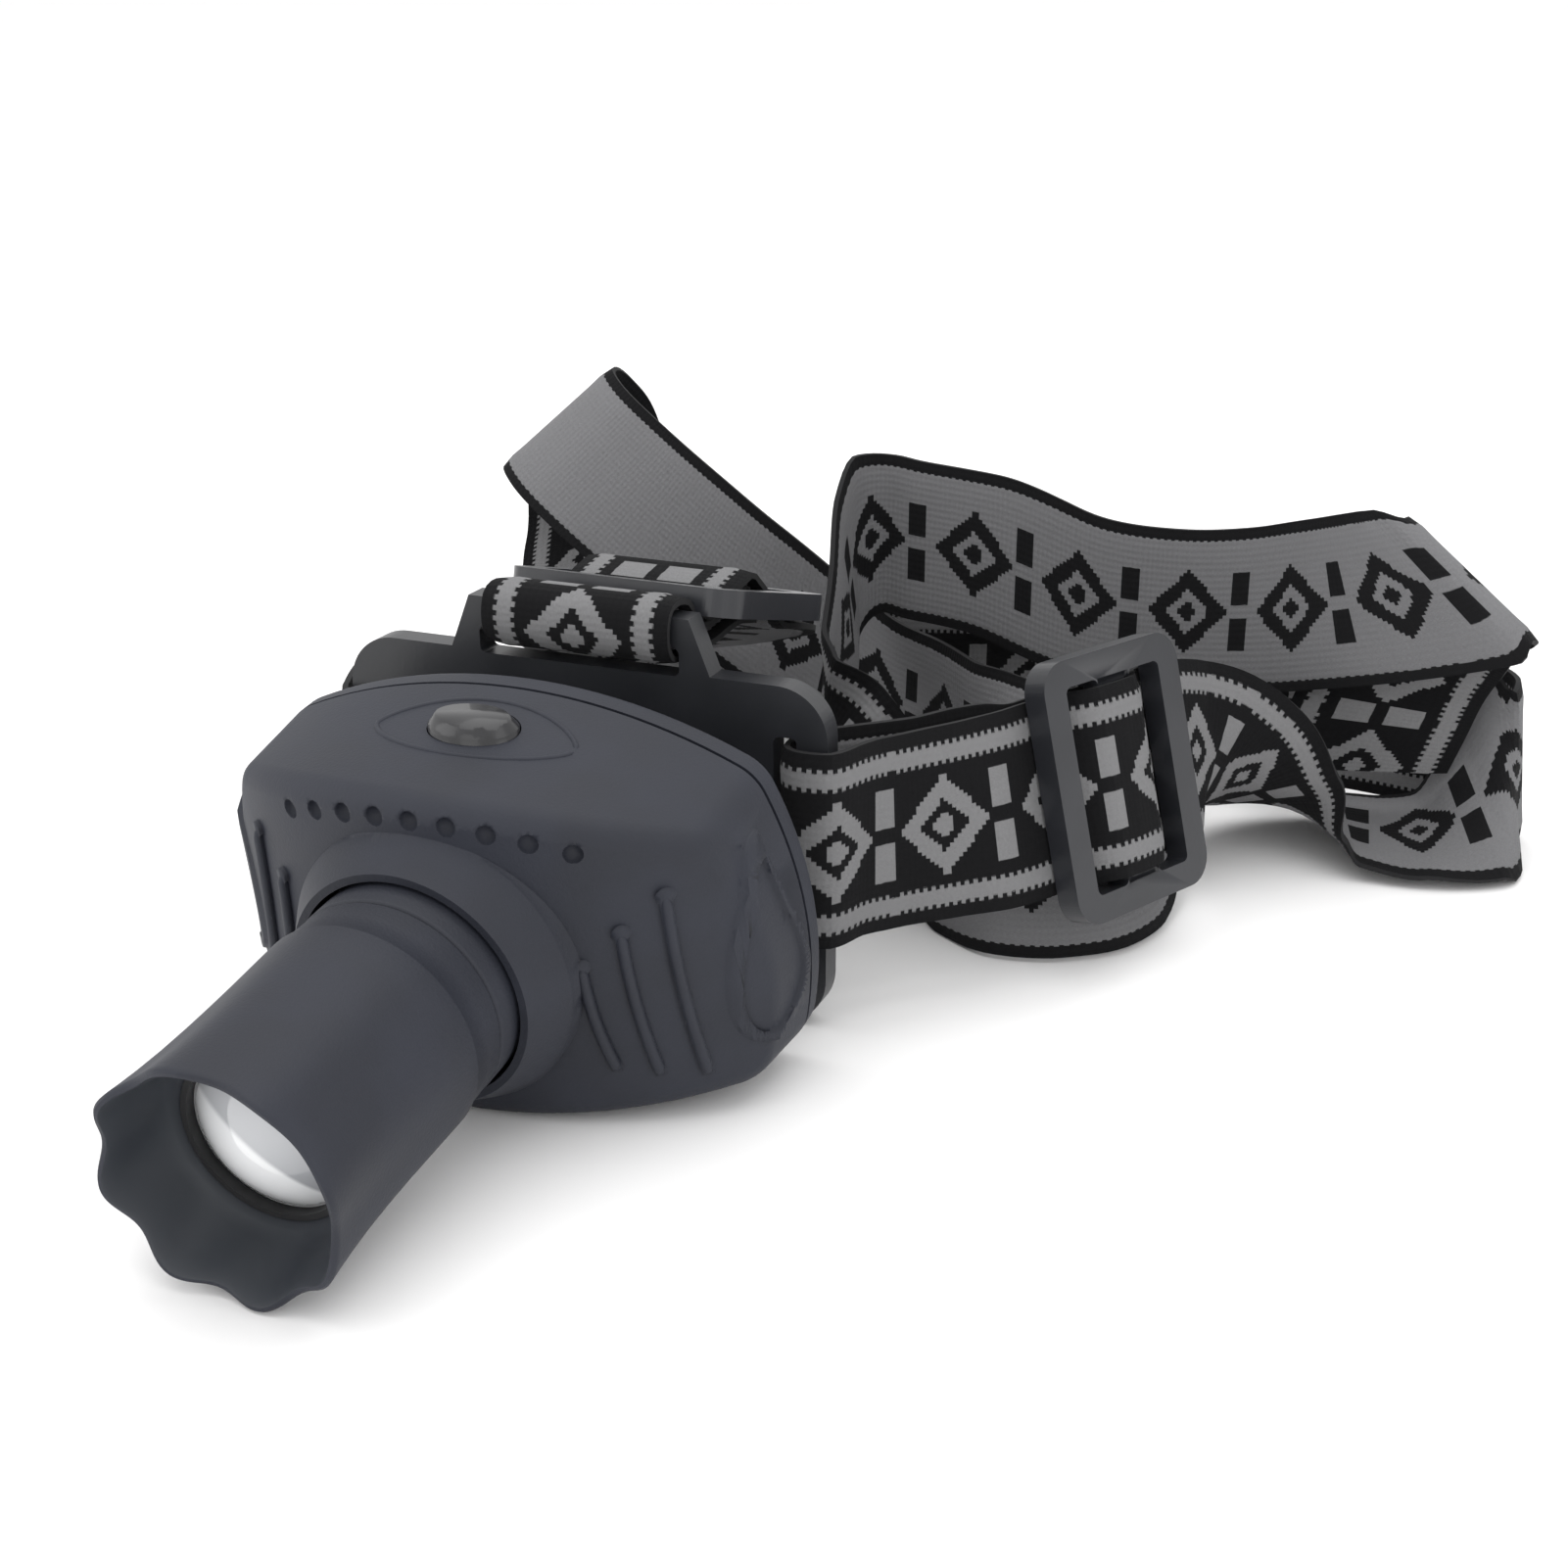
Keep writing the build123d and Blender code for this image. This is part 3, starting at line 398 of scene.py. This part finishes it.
def sweep(name, points, radius, rounding, finish, body, isClosed=False):
    line = bpy.data.meshes.new(name + "Path")
    edges = [(index, index + 1) for index in range(len(points) - 1)]
    if isClosed:
        edges.append((len(points) - 1, 0))
    line.from_pydata([tuple(point) for point in points], edges, [])
    carrier = bpy.data.objects.new(name + "Path", line)
    bpy.context.scene.collection.objects.link(carrier)
    step = carrier.modifiers.new("sweep", "NODES")
    step.node_group = ridgeGroup
    step[ridgeSockets["Radius"]] = radius
    step[ridgeSockets["End Rounding"]] = rounding
    step[ridgeSockets["Finish"]] = finish
    ready = carrier.evaluated_get(bpy.context.evaluated_depsgraph_get())
    mesh = bpy.data.meshes.new_from_object(ready)
    mesh.name = name
    bpy.data.objects.remove(carrier)
    piece = bpy.data.objects.new(name, mesh)
    bpy.context.scene.collection.objects.link(piece)
    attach(piece, body)
    return piece


def makeRidges():
    mesh = nodes["front_shell"].data
    shell = BVHTree.FromPolygons(
        [vertex.co for vertex in mesh.vertices], [tuple(face.vertices) for face in mesh.polygons]
    )
    steadyFront(bpy.data.objects["front_shellSkin"])
    for side, label in ((-1, "Left"), (1, "Right")):
        for number, (reach, low, high) in enumerate(
            ((18.6, -12.0, 1.6), (22.8, -13.2, 5.6), (27.2, -14.2, 9.6))
        ):
            points = []
            for index in range(25):
                share = index / 24
                x = side * (reach - 1.3 + 2.6 * share - 1.9 * share * (1 - share))
                z = high + (low - high) * share
                sag = casing["bow"] - math.sqrt(casing["bow"] ** 2 - x * x)
                points.append(casingPoint(x, sag - casing["front"] - ridges["lift"], z))
            sweep(
                "gripRib" + label + str(number + 1), points, ridges["ribRadius"] / 1000, 14.0,
                finishes["skin"], "lamp_front",
            )
    almond = []
    for index in range(96):
        angle = 2 * math.pi * index / 96
        x = 12.6 * math.cos(angle)
        y = -2.2 + 5.6 * math.sin(angle) * (abs(math.sin(angle)) ** 0.35)
        start = casingPoint(x, y, 60)
        aim = (casingPoint(x, y, 0) - start).normalized()
        spot, normal, face, distance = shell.ray_cast(start, aim)
        if spot:
            almond.append(spot - normal * 0.00012)
    sweep(
        "buttonSurround", almond, ridges["almondRadius"] / 1000, 1e6, finishes["skin"],
        "lamp_front", True,
    )


makeRidges()
print("ridges swept")

# ---- zoom head: a turned barrel with a scalloped, flared rim
barrel = {"sections": 192, "scallops": 8, "rimWave": 0.0005, "flute": 0.00028, "flare": 0.0003}


def makeZoomHead():
    tilt = math.radians(casing["tilt"])
    axis = Vector((0, -math.cos(tilt), -math.sin(tilt)))
    up = Vector((0, -math.sin(tilt), math.cos(tilt)))
    # distances along the axis are from the casing's own origin
    origin = casingPoint(0, 0, 0)
    outside = [
        (17.0, 9.1), (17.0, 12.9), (17.15, 13.1), (24.7, 13.1), (25.0, 13.05), (25.15, 12.8),
        (25.35, 12.8), (25.5, 13.0),
        (28.0, 13.1), (30.6, 13.2), (30.85, 13.45), (31.1, 13.5), (34.0, 13.48), (38.0, 13.42),
        (42.0, 13.36), (46.0, 13.34),
        (50.0, 13.4), (53.5, 13.55), (56.0, 13.72), (57.6, 13.86), (58.2, 13.88), (58.5, 13.6),
    ]
    inside = [
        (58.45, 13.2), (58.0, 13.0), (56.0, 12.6), (53.5, 11.9), (51.5, 11.2), (50.2, 10.5),
        (49.5, 9.98), (48.0, 9.96),
        (46.4, 9.96), (46.4, 9.0), (44.6, 9.0), (44.6, 11.0), (27.0, 11.0), (27.0, 9.1),
    ]
    profile = outside + inside
    count = barrel["sections"]
    vertices = []
    for distance, radius in profile:
        for index in range(count):
            angle = 2 * math.pi * index / count
            wave = math.cos(barrel["scallops"] * (angle - math.radians(12)))
            rim = max(0.0, min(1.0, (distance - 40.0) / 18.5)) ** 2
            isOuter = radius > 12.5 or distance > 53
            r = radius / 1000
            d = distance / 1000
            if isOuter and distance > 31:
                grip = min(1.0, (distance - 31) / 8)
                r += rim * barrel["flare"] * (wave - 0.4) - barrel["flute"] * (1 - wave) * 0.5 * grip
            if distance > 50:
                d += barrel["rimWave"] * (wave - 1) * max(0.0, min(1.0, (distance - 52.0) / 6.5))
            vertices.append(
                origin + axis * d + (Vector((1, 0, 0)) * math.cos(angle) + up * math.sin(angle)) * r
            )
    faces = []
    faceMaterials = []
    rows = len(profile)
    for row in range(rows):
        following = (row + 1) % rows
        for index in range(count):
            right = (index + 1) % count
            faces.append(
                (
                    row * count + index, following * count + index, following * count + right,
                    row * count + right,
                )
            )
            faceMaterials.append(1 if row >= len(outside) else 0)
    head = newPiece(
        "zoomBarrel", vertices, faces, "zoom", [finishes["skin"], finishes["bore"]],
        faceMaterials, 50.0,
    )
    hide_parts("zoom_head")
    return head


makeZoomHead()
print("zoom head made")

# ---- webbing
webbing = {"width": 25.0, "thickness": 1.5, "step": 1.1, "columns": 10}
# the adjusters' middles come from the frame; along is the webbing's travel, up is off the adjuster's face
adjusters = {
    "slider_a": {"along": (0.443, 0.897, 0), "up": (0.865, -0.427, 0.27)},
    "slider_b": {"along": (0.15, 0.955, -0.256), "up": (0, 0.259, 0.966)},
}


def onSlider(node, places):
    # webbing centre and width direction at distances along and off an adjuster
    low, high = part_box(node)
    middle = (low + high) * 500
    along = Vector(adjusters[node]["along"]).normalized()
    up = Vector(adjusters[node]["up"]).normalized()
    bars = up.cross(along).normalized()
    return [(*(middle + along * reach + up * lift), *-bars) for reach, lift in places]


def throughSlider(node, hump):
    # under one end bar, over the middle bar, under the other
    near = [(-13, -2.75), (-9.5, -2.75), (-8.5, -2.5), (-3.6, 1.6), (-2.0, 1.7 + hump / 2)]
    far = [(-reach, lift) for reach, lift in reversed(near)]
    return onSlider(node, near + [(0, 1.9 + hump)] + far)


def sewnEnd(node):
    # the end sewn round the middle bar, running out under it
    return onSlider(node, [(1.8, -2.1), (-1.5, -2.1), (-4.5, -3.2), (-9, -5.2), (-13, -5.6)])


# each row: centre x, y, z in mm, then the width direction
mainStations = sewnEnd("slider_a") + [
    (43.4, 20.6, 23.8, 0.1, 0, -1),
    (37.4, 14.6, 23.6, 0, 0, -1),
    (32.2, 9, 23.8, 0, 0, -1),
    (29, 5.2, 24, 0, 0, -1),
    (27.1, 2.4, 24, 0, 0, -1),
    (27.1, 0, 24, 0, 0, -1),
    (27.2, -1.5, 24, 0, 0, -1),
    (28.6, -2.8, 24, 0, 0, -1),
    (31, -3, 24, 0, 0, -1),
    (33.2, -2.4, 24, 0, 0, -1),
    (34.3, -0.6, 24, 0, 0, -1),
    (35.4, 2.6, 24, 0, 0, -1),
    (38, 7.5, 23.6, 0.05, 0, -1),
    (43.6, 13.2, 23.8, 0.1, -0.05, -1),
    (48.6, 18, 24.1, 0.2, -0.1, -0.97),
] + throughSlider("slider_a", 0) + [
    (66, 56, 21.5, 0.1, -0.33, -0.93),
    (69, 66, 16, -0.67, -0.18, -0.72),
    (72.5, 74, 10, -0.88, 0.3, -0.37),
    (78.5, 79.5, 5.6, -0.5, 0.86, -0.08),
    (86, 81.2, 3.4, -0.13, 0.99, 0.05),
    (94.5, 81.8, 3.8, -0.2, 0.96, 0.14),
    (101.5, 84.6, 8.6, -0.42, 0.7, 0.5),
    (105.8, 90, 12.9, -0.1, -0.2, 0.97),
    (105.4, 95.8, 13, -0.1, -0.05, 1),
    (99, 101.2, 13, 0, 0, 1),
    (88, 103.5, 13.4, 0, 0, 1),
    (75, 104, 14, 0, 0, 1),
    (55, 101, 15.5, 0, 0, 1),
    (38, 96.5, 16.5, 0, 0, 1),
    (20, 92.5, 15.5, 0, 0, 1),
    (4, 96, 13.2, 0, 0, 1),
    (-11, 98, 12.8, 0, 0, 1),
    (-25, 95, 12.4, -0.15, 0.3, 0.94),
    (-36.5, 86.5, 7.9, -0.55, 0.6, 0.55),
    (-44, 74, 7.9, -0.8, 0.2, 0.55),
    (-48, 59, 9.7, -0.72, 0, 0.7),
    (-48.5, 43, 12.9, -0.2, 0, 0.98),
    (-46, 28, 17, 0, 0, 1),
    (-41.5, 15, 21, 0, 0, 1),
    (-37, 5.4, 23.6, 0, 0, 1),
    (-34.6, 0.2, 24, 0, 0, 1),
    (-33.2, -2.4, 24, 0, 0, 1),
    (-31, -3, 24, 0, 0, 1),
    (-28.6, -2.8, 24, 0, 0, 1),
    (-27.2, -1.5, 24, 0, 0, 1),
    (-27.1, 0, 24, 0, 0, 1),
    (-27.1, 2.4, 24, 0, 0, 1),
    (-29.2, 5.4, 24, 0, 0, 1),
    (-32, 9.8, 23.2, 0, 0, 1),
]
topStations = sewnEnd("slider_b") + [
    (0.6, 2, 45.15, 1, 0, 0),
    (0.4, 0, 45.15, 1, 0, 0),
    (0.4, -1.9, 45.6, 1, 0, 0),
    (0.3, -2.85, 47.2, 1, 0, 0),
    (0.3, -2.95, 49.5, 1, 0, 0),
    (0.3, -2.1, 51.4, 1, 0, 0),
    (0.3, 0.2, 52, 1, 0, 0),
    (0.5, 2.9, 51.2, 1, 0, 0),
    (0.8, 3.7, 49.3, 1, 0, 0),
] + throughSlider("slider_b", 1.6) + [
    (1.5, 38, 38, 1, 0.1, 0),
    (-7, 48, 32.5, 0.95, 0.3, 0),
    (-18, 58, 27, 0.9, 0.42, 0),
    (-30, 68, 22.5, 0.87, 0.5, 0),
    (-40, 79, 20.6, 0.88, 0.45, 0),
    (-46, 90, 23, 0.93, 0.3, 0.1),
    (-48, 97.5, 30, 0.87, 0.35, 0.35),
    (-48.5, 99.5, 40, 0.78, 0.3, 0.55),
    (-49, 97, 48, 0.72, 0.25, 0.64),
    (-50, 93, 52.4, 0.71, 0.24, 0.66),
    (-49.6, 89, 53, 0.71, 0.24, 0.66),
    (-46, 86, 50.6, 0.71, 0.24, 0.66),
    (-38, 84.5, 44.8, 0.66, 0.24, 0.7),
    (-28, 84.5, 37.5, 0.55, 0.2, 0.8),
    (-16, 86, 28.5, 0.38, 0.12, 0.92),
    (-3, 88, 19.4, 0.2, 0.05, 0.98),
    (9, 86.5, 13.8, 0.05, 0, 1),
    (20, 80.5, 12.8, 0, 0, 1),
    (28.5, 72, 12.8, 0, 0, 1),
    (35.5, 65.5, 12.7, 0, 0.3, 0.95),
    (42, 61, 12, 0.15, 0.6, 0.78),
    (47.6, 57, 10.8, 0.5, 0.85, 0.1),
    (53, 51, 11, 0.75, 0.5, -0.45),
    (58.4, 44.5, 11.5, 0.5, 0.05, -0.86),
    (56.4, 37, 11.5, 0.4, -0.25, -0.88),
    (51, 32, 11.8, 0.2, -0.35, -0.91),
    (44, 29.6, 12.4, 0.08, -0.3, -0.95),
    (37, 31.4, 12.6, 0, -0.1, -1),
    (31, 35.5, 13, 0, 0.15, -1),
    (25, 40, 13.5, 0.35, 0.5, -0.8),
    (19, 44.5, 14.5, 0.6, 0.78, -0.1),
    (13.6, 49.5, 15.6, 0.55, 0.4, 0.7),
    (10, 56, 18, 0.25, -0.25, 0.92),
    (8.6, 63.5, 23, 0.1, -0.55, 0.82),
    (8, 70, 29, 0.05, -0.6, 0.78),
    (6.2, 76, 35.5, 0, -0.35, 0.93),
    (6.4, 80, 39.2, 0, -0.1, 0.99),
    (9.4, 82.4, 40.8, 0, 0, 1),
    (15, 82.6, 40.2, 0, 0, 1),
    (26, 83.6, 38.6, 0, 0, 1),
    (42, 88, 32.6, 0, 0, 1),
    (55, 89.6, 31.6, 0, 0, 1),
    (66, 88.4, 33, 0, 0, 1),
    (76, 84.6, 36, -0.15, 0.05, 0.98),
    (86, 80, 39.6, -0.5, 0.25, 0.8),
    (93, 77, 42.4, -0.72, 0.38, 0.55),
    (96.2, 76.4, 43.6, -0.76, 0.38, 0.52),
    (97.2, 79.6, 43.2, -0.76, 0.38, 0.52),
    (95.2, 83.2, 40.6, -0.76, 0.38, 0.5),
    (92.6, 85.6, 35.4, -0.88, 0.25, 0.38),
    (89, 86.8, 28, -0.97, 0.08, 0.2),
    (86, 87.6, 19, -1, 0.05, 0),
    (83, 88, 10.2, -1, 0, -0.1),
]


def sampled(stations):
    # a smooth path through the stations, sampled evenly: centre and width direction
    points = [Vector(row[:3]) for row in stations]
    widths = [Vector(row[3:]).normalized() for row in stations]
    fine = []
    for index in range(len(points) - 1):
        p0, p1 = points[max(index - 1, 0)], points[index]
        p2, p3 = points[index + 1], points[min(index + 2, len(points) - 1)]
        t0 = 0.0
        t1 = t0 + max((p1 - p0).length, 0.5) ** 0.5
        t2 = t1 + max((p2 - p1).length, 0.5) ** 0.5
        t3 = t2 + max((p3 - p2).length, 0.5) ** 0.5
        for part in range(12):
            t = t1 + (t2 - t1) * part / 12
            a1 = p0 * ((t1 - t) / (t1 - t0)) + p1 * ((t - t0) / (t1 - t0))
            a2 = p1 * ((t2 - t) / (t2 - t1)) + p2 * ((t - t1) / (t2 - t1))
            a3 = p2 * ((t3 - t) / (t3 - t2)) + p3 * ((t - t2) / (t3 - t2))
            b1 = a1 * ((t2 - t) / (t2 - t0)) + a2 * ((t - t0) / (t2 - t0))
            b2 = a2 * ((t3 - t) / (t3 - t1)) + a3 * ((t - t1) / (t3 - t1))
            here = b1 * ((t2 - t) / (t2 - t1)) + b2 * ((t - t1) / (t2 - t1))
            share = part / 12
            ease = share * share * (3 - 2 * share)
            fine.append((here, widths[index].slerp(widths[index + 1], 0.5 * (share + ease))))
    fine.append((points[-1], widths[-1]))
    lengths = [0.0]
    for one, other in zip(fine[:-1], fine[1:]):
        lengths.append(lengths[-1] + (other[0] - one[0]).length)
    total = lengths[-1]
    count = round(total / webbing["step"])
    rows = []
    place = 0
    for index in range(count + 1):
        target = total * index / count
        while place < len(lengths) - 2 and lengths[place + 1] < target:
            place += 1
        span = max(lengths[place + 1] - lengths[place], 1e-9)
        share = (target - lengths[place]) / span
        rows.append(
            (
                fine[place][0].lerp(fine[place + 1][0], share),
                fine[place][1].lerp(fine[place + 1][1], share).normalized(), target,
            )
        )
    return rows


def makeWebbing(name, node, stations, plain=(0, 0)):
    rows = sampled(stations)
    columns = webbing["columns"]
    half = webbing["thickness"] / 2
    vertices, faces, faceMaterials, uvs = [], [], [], []
    loop = [
        (-1 + 2 * c / columns, 1) for c in range(columns + 1)
    ] + [(1 - 2 * c / columns, -1) for c in range(columns + 1)]
    ring = len(loop)
    for index, (here, width, target) in enumerate(rows):
        before = rows[max(index - 2, 0)][0]
        after = rows[min(index + 2, len(rows) - 1)][0]
        travel = (after - before).normalized()
        cross = width.cross(travel)
        out = cross.normalized()
        side = width * (webbing["width"] / 2 / max(cross.length, 0.6))
        rise = max(0.0, abs(side.z) + half * abs(out.z) + 0.05 - here.z)
        here = here + Vector((0, 0, rise))
        for across, face in loop:
            edge = 0.55 if abs(across) > 0.99 else 1.0
            rib = 1.0 if abs(across) > 0.75 and edge == 1.0 else 0.9
            vertices.append((here + side * across + out * (face * half * edge * rib)) / 1000)
    for index in range(len(rows) - 1):
        for spot in range(ring):
            following = (spot + 1) % ring
            faces.append(
                (
                    index * ring + spot, index * ring + following, (index + 1) * ring + following,
                    (index + 1) * ring + spot,
                )
            )
            isTop = spot < columns
            isEdge = spot in (columns, ring - 1)
            isPlain = plain[0] <= rows[index][2] < plain[1]
            faceMaterials.append(2 if isEdge else (0 if isTop else (3 if isPlain else 1)))
            u0, u1 = rows[index][2] / 1000, rows[index + 1][2] / 1000
            v0, v1 = (loop[spot][0] + 1) / 2, (loop[following][0] + 1) / 2
            uvs += [(u0, v0), (u0, v1), (u1, v1), (u1, v0)]
    last = (len(rows) - 1) * ring
    faces.append(tuple(range(ring))[::-1])
    faces.append(tuple(last + spot for spot in range(ring)))
    faceMaterials += [2, 2]
    uvs += [(0.0, 0.5)] * (2 * ring)
    strap = newPiece(
        name, vertices, faces, "headband",
        [finishes[key] for key in ("webDark", "webPale", "webEdge", "webPlain")], faceMaterials, 60.0,
    )
    layer = strap.data.uv_layers.new(name="weave")
    for index, uv in enumerate(uvs):
        layer.data[index].uv = uv
    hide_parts(node)
    length = rows[-1][2] / 1000
    print(name, "length", round(length, 3))
    return strap


makeWebbing("headbandWebbing", "main_strap", mainStations)
makeWebbing("overheadWebbing", "top_strap", topStations, (176, 238))
print("webbing made")

# ---- studio: pale floor, soft light, camera
low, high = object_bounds()


def makeStudio():
    floorMesh = bpy.data.meshes.new("studioFloor")
    size, floorZ = 12.0, min(low.z, 0.0) - 0.00005
    floorMesh.from_pydata(
        [(-size, -size, floorZ), (size, -size, floorZ), (size, size, floorZ), (-size, size, floorZ)],
        [], [(0, 1, 2, 3)],
    )
    floorFinish = newMaterial("studioWhite", (0.985, 0.98, 0.978), 0.8)[0]
    floorMesh.materials.append(floorFinish)
    floor = bpy.data.objects.new("studioFloor", floorMesh)
    bpy.context.scene.collection.objects.link(floor)
    lamps = {
        "overheadSoftbox": ((0.05, 0.05, 0.75), (0, 0, -1), 0.9, 3.2),
        "leftSoftbox": ((-0.6, -0.35, 0.35), (0.85, 0.45, -0.35), 0.5, 0.9),
        "rightSoftbox": ((0.65, -0.4, 0.45), (-0.75, 0.5, -0.5), 0.5, 0.7),
        "frontSoftbox": ((-0.12, -0.75, 0.25), (0.15, 0.95, -0.25), 0.4, 0.4),
    }
    for name, (place, aim, width, power) in lamps.items():
        light = bpy.data.lights.new(name, "AREA")
        light.size = width
        light.energy = power
        lamp = bpy.data.objects.new(name, light)
        lamp.location = place
        lamp.rotation_mode = "QUATERNION"
        lamp.rotation_quaternion = Vector(aim).to_track_quat("-Z", "Y")
        bpy.context.scene.collection.objects.link(lamp)
    world = bpy.data.worlds.new("studioWorld")
    world.use_nodes = True
    world.node_tree.nodes["Background"].inputs[0].default_value = (1, 1, 1, 1)
    world.node_tree.nodes["Background"].inputs[1].default_value = 1.03
    bpy.context.scene.world = world


def makeCamera():
    data = bpy.data.cameras.new("camera")
    data.sensor_width = 36.0
    data.lens = 48.5
    data.clip_start = 0.01
    data.clip_end = 20
    camera = bpy.data.objects.new("camera", data)
    bpy.context.scene.collection.objects.link(camera)
    camera.location = (0.1146, -0.2200, 0.1214)
    azimuth, elevation = math.radians(21.87), math.radians(20.89)
    back = Vector(
        (
            math.sin(azimuth) * math.cos(elevation), -math.cos(azimuth) * math.cos(elevation),
            math.sin(elevation),
        )
    )
    camera.rotation_mode = "QUATERNION"
    camera.rotation_quaternion = (-back).to_track_quat("-Z", "Y")
    bpy.context.scene.camera = camera


makeStudio()
makeCamera()
bpy.context.scene.view_settings.view_transform = "Standard"
